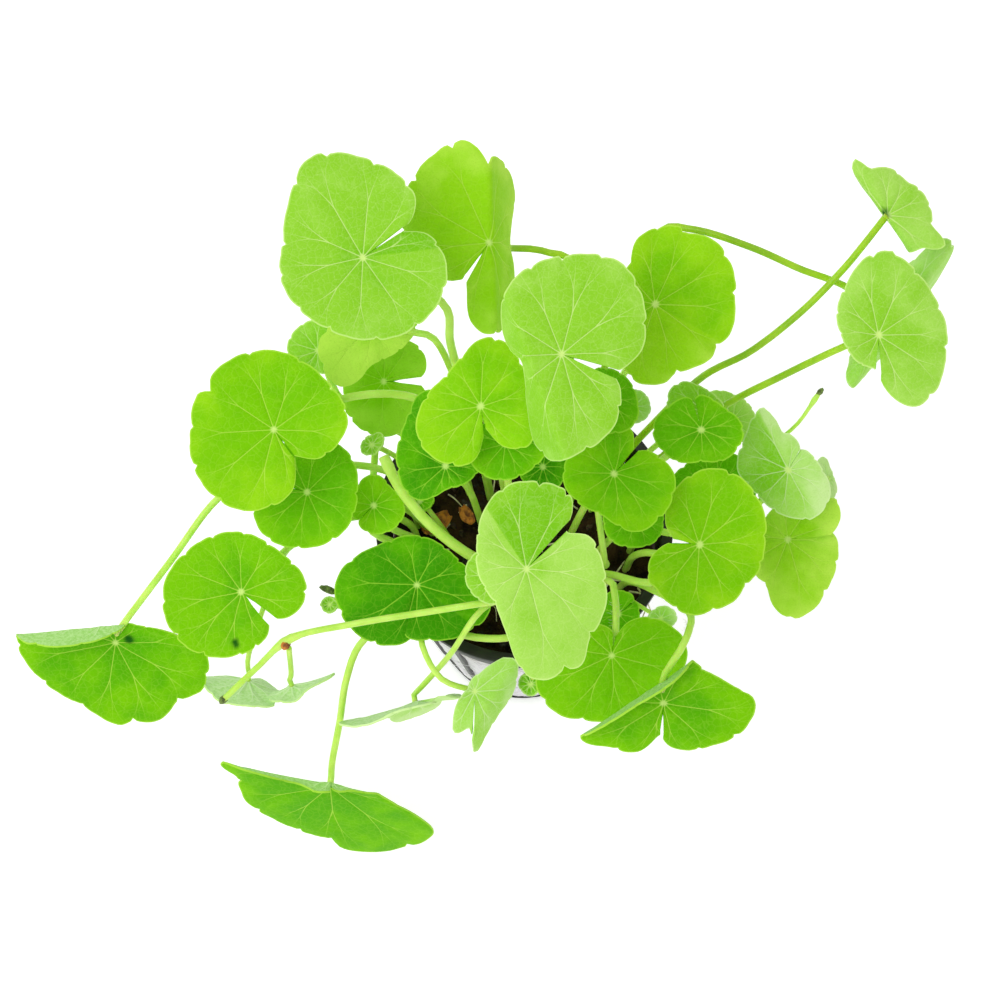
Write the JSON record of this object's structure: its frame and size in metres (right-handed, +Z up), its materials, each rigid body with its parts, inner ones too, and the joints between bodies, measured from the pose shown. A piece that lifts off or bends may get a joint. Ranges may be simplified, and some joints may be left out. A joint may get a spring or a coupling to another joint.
{
  "type": "brazilian pennywort",
  "caption": "Brazilian pennywort: round notched leaves on long stalks and creeping stems, rooted in grey rock wool in a black net pot.",
  "frame": {"origin": "centre of the net pot's flat base, on the surface it stands on", "axes": "+Z up along the pot's axis, +X to the plant's right and -Y to its front as the picture shows it"},
  "size_m": [0.1484, 0.0895, 0.1116],
  "materials": {
    "pot": "satin",
    "rock_wool": "matte",
    "leaf_green": "satin",
    "leaf_light": "satin",
    "leaf_dark": "satin",
    "leaf_pale": "satin",
    "stem": "satin"
  },
  "bodies": {
    "root": {"net_pot": "pot", "rock_wool": "rock_wool", "leaf_01_tall_left": "leaf_light", "leaf_02_tall_middle": "leaf_green", "leaf_03_top_centre": "leaf_light", "leaf_04_top_right": "leaf_green", "leaf_05_far_right_folded": "leaf_light", "leaf_06_far_right": "leaf_light", "leaf_07_far_right_back": "leaf_pale", "leaf_08_left_big": "leaf_green", "leaf_09_left_under": "leaf_dark", "leaf_10_lower_left": "leaf_green", "leaf_11_far_left": "leaf_green", "leaf_12_hanging_front": "leaf_green", "leaf_13_left_small": "leaf_dark", "leaf_14_left_rim": "leaf_dark", "leaf_15_centre_pale": "leaf_light", "leaf_16_heart": "leaf_green", "leaf_17_star": "leaf_dark", "leaf_18_centre_right": "leaf_green", "leaf_19_front_right": "leaf_green", "leaf_20_front_folded": "leaf_green", "leaf_21_right_outer": "leaf_green", "leaf_22_right_crumpled": "leaf_pale", "leaf_23_right_notched": "leaf_dark", "leaf_24_right_back": "leaf_light", "leaf_25_right_dark": "leaf_dark", "leaf_26_left_notched": "leaf_dark", "leaf_27_left_folded": "leaf_green", "leaf_28_left_back_small": "leaf_light", "leaf_29_under_heart": "leaf_dark", "leaf_30_under_top_centre": "leaf_dark", "leaf_31_inner_small": "leaf_dark", "leaf_32_beside_top_centre": "leaf_dark", "leaf_33_inner_pale": "leaf_pale", "leaf_34_low_centre": "leaf_dark", "leaf_35_yellow_green": "leaf_light", "leaf_36_young_folded": "leaf_pale", "leaf_37_narrow": "leaf_pale", "leaf_38_runner_left": "leaf_pale", "leaf_39_runner_right": "leaf_pale", "leaf_40_rim_sprout": "leaf_light", "leaf_41_right_young": "leaf_pale", "leaf_42_node_young": "leaf_light", "leaf_43_inner_left": "leaf_dark", "leaf_44_low_right": "leaf_pale", "leaf_45_inner_front": "leaf_dark", "leaf_46_front_rim": "leaf_light", "leaf_47_right_notched_back": "leaf_light", "stem_runner": "stem", "stem_thick": "stem", "stem_front_rim": "stem", "stem_inner": "stem", "stem_bud": "stem"}
  },
  "joints": []
}
